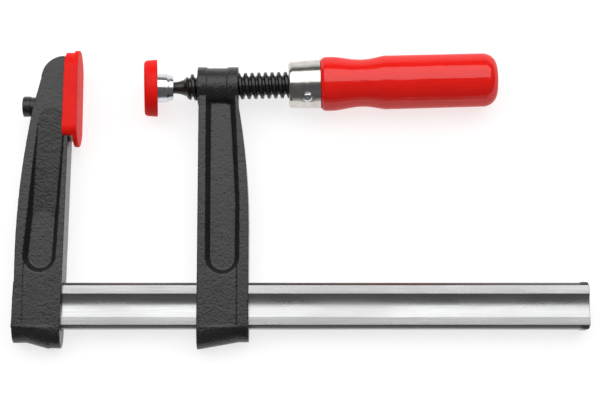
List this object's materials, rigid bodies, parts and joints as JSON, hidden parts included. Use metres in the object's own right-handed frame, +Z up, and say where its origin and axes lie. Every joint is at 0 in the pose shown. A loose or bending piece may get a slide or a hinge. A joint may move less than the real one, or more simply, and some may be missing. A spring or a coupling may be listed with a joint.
{
  "type": "f clamp",
  "caption": "Screw clamp with two cast arms on a grooved steel rail, a threaded spindle with a wooden handle and a swivelling pressure plate.",
  "frame": {"origin": "middle of the clamp's outline at table height, with the clamp lying on its side", "axes": "+X along the rail towards its free end and the handle, +Y up the arms from the rail towards the spindle, +Z up from the table through the clamp's flat side"},
  "size_m": [0.2832, 0.1505, 0.0289],
  "materials": {
    "rail": "bright drawn steel with serrated narrow edges",
    "cast_arms": "satin black powder coat over a cast skin",
    "jaw_cap": "soft satin red plastic",
    "spindle": "blackened, oiled steel",
    "ball_ring": "spring steel",
    "pressure_plate": "bright zinc plate",
    "ferrule": "nickel plate",
    "handle": "red gloss lacquer on turned wood",
    "handle_pin": "bright zinc plate"
  },
  "bodies": {
    "rail_and_jaw": {"rail": "rail", "fixed_arm": "cast_arms", "jaw_cap": "jaw_cap"},
    "slider": {"sliding_arm": "cast_arms"},
    "ball_seat": {"ball_ring": "ball_ring"},
    "screw": {"spindle": "spindle", "ferrule": "ferrule", "handle": "handle", "handle_pin": "handle_pin"},
    "pad": {"pressure_plate": "pressure_plate", "plate_cap": "jaw_cap"}
  },
  "joints": [
    {"name": "arm_slide", "type": "slide", "parent": "rail_and_jaw", "child": "slider", "axis": [1, 0, 0], "range_m": [-0.0042, 0.162]},
    {"name": "screw_feed", "type": "slide", "parent": "slider", "child": "ball_seat", "axis": [-0.9997, -0.0261, -0.0013], "range_m": [-0.01089, 0.02429]},
    {"name": "screw_turn", "type": "hinge", "parent": "ball_seat", "child": "screw", "pos_m": [-0.04165, 0.05692, 0.01415], "axis": [-0.9997, -0.0261, -0.0013], "range_deg": [-1170, 2610]},
    {"name": "pad_swivel", "type": "hinge", "parent": "ball_seat", "child": "pad", "pos_m": [-0.07004, 0.05618, 0.01412], "axis": [0, -0.0515, 0.9987], "range_deg": [-12, 12]}
  ],
  "couplings": [
    {"joint": "screw_feed", "follows": "screw_turn", "m_per_rad": 0.00053317}
  ]
}
